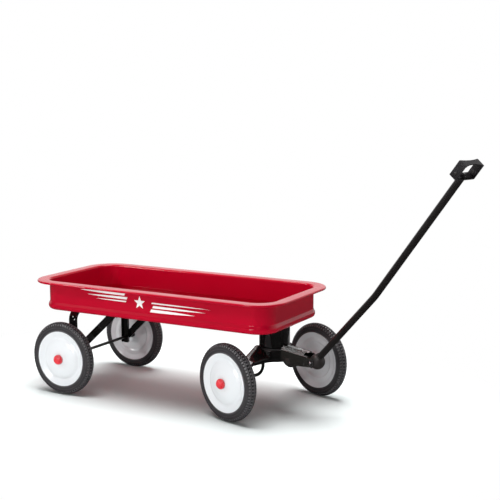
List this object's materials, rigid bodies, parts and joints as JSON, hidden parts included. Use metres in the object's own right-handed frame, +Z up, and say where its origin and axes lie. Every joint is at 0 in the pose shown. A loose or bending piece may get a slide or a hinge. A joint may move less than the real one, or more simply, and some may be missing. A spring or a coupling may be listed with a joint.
{
  "type": "pull wagon",
  "caption": "Child's pull wagon with a pressed tray on four solid-tyred wheels, a steered front truck and a raised tilting pull handle with a loop grip.",
  "frame": {"origin": "on the floor, midway between the front and rear axles, on the wagon's middle plane", "axes": "+X forward, the way the wagon is pulled; +Y the wagon's left; +Z up"},
  "size_m": [1.4321, 0.463, 0.7641],
  "materials": {
    "tray_red": "gloss enamel",
    "frame_black": "gloss enamel",
    "knuckle_black": "satin enamel",
    "grip_black": "satin enamel",
    "axle_black": "satin enamel",
    "bare_steel": "plain steel",
    "zinc": "bright zinc plate",
    "bearing_plastic": "moulded",
    "tyre": "moulded rubber, faintly worn",
    "hub_white": "gloss enamel",
    "cap_red": "moulded gloss"
  },
  "bodies": {
    "chassis": {"tray": "tray_red", "pedestal_bolts": "zinc", "pedestal_nuts": "zinc", "rear_bolster_bolts": "zinc", "rear_bolster_nuts": "zinc", "brace_bolts": "zinc", "brace_nuts": "zinc", "steering_pedestal": "frame_black", "bearing_ring": "bearing_plastic", "king_pin": "bare_steel", "king_nut": "zinc", "rear_bolster": "frame_black", "rear_right_brace": "frame_black", "rear_left_brace": "frame_black", "rear_axle": "axle_black", "rear_axle_spacers": "bearing_plastic", "rear_right_push_nut": "bare_steel", "rear_right_hub_cap": "cap_red", "rear_left_push_nut": "bare_steel", "rear_left_hub_cap": "cap_red"},
    "front_truck": {"front_bolster": "frame_black", "front_axle": "axle_black", "axle_saddles": "bare_steel", "axle_saddle_caps": "bare_steel", "saddle_screws": "zinc", "tongue": "frame_black", "tongue_rivets": "bare_steel", "hinge_bolt": "zinc", "hinge_nut": "zinc", "front_axle_spacers": "bearing_plastic", "front_right_push_nut": "bare_steel", "front_right_hub_cap": "cap_red", "front_left_push_nut": "bare_steel", "front_left_hub_cap": "cap_red"},
    "handle": {"handle_knuckle": "knuckle_black", "handle_tube": "frame_black", "handle_grip": "grip_black", "grip_yoke": "grip_black", "grip_rivets": "knuckle_black"},
    "rear_right_wheel": {"rear_right_tyre": "tyre", "rear_right_wheel_face": "hub_white", "rear_right_wheel_back": "hub_white", "rear_right_wheel_rim": "hub_white", "rear_right_hub_sleeve": "bearing_plastic"},
    "rear_left_wheel": {"rear_left_tyre": "tyre", "rear_left_wheel_face": "hub_white", "rear_left_wheel_back": "hub_white", "rear_left_wheel_rim": "hub_white", "rear_left_hub_sleeve": "bearing_plastic"},
    "front_right_wheel": {"front_right_tyre": "tyre", "front_right_wheel_face": "hub_white", "front_right_wheel_back": "hub_white", "front_right_wheel_rim": "hub_white", "front_right_hub_sleeve": "bearing_plastic"},
    "front_left_wheel": {"front_left_tyre": "tyre", "front_left_wheel_face": "hub_white", "front_left_wheel_back": "hub_white", "front_left_wheel_rim": "hub_white", "front_left_hub_sleeve": "bearing_plastic"}
  },
  "joints": [
    {"name": "steer", "type": "hinge", "parent": "chassis", "child": "front_truck", "pos_m": [0.319, 0, 0.18], "axis": [0, 0, 1], "range_deg": [-22.65, 57.35]},
    {"name": "handle_tilt", "type": "hinge", "parent": "front_truck", "child": "handle", "pos_m": [0.47458, -0.04861, 0.1675], "axis": [-0.2982, -0.9545, 0], "range_deg": [-59, 45]},
    {"name": "rear_right_wheel_spin", "type": "hinge", "parent": "chassis", "child": "rear_right_wheel", "pos_m": [-0.319, -0.1863, 0.1126], "axis": [0, 1, 0], "continuous": true},
    {"name": "front_right_wheel_spin", "type": "hinge", "parent": "front_truck", "child": "front_right_wheel", "pos_m": [0.26344, -0.17782, 0.1126], "axis": [0.2982, 0.9545, 0], "continuous": true},
    {"name": "rear_left_wheel_spin", "type": "hinge", "parent": "chassis", "child": "rear_left_wheel", "pos_m": [-0.319, 0.1863, 0.1126], "axis": [0, 1, 0], "continuous": true},
    {"name": "front_left_wheel_spin", "type": "hinge", "parent": "front_truck", "child": "front_left_wheel", "pos_m": [0.37456, 0.17782, 0.1126], "axis": [0.2982, 0.9545, 0], "continuous": true}
  ]
}
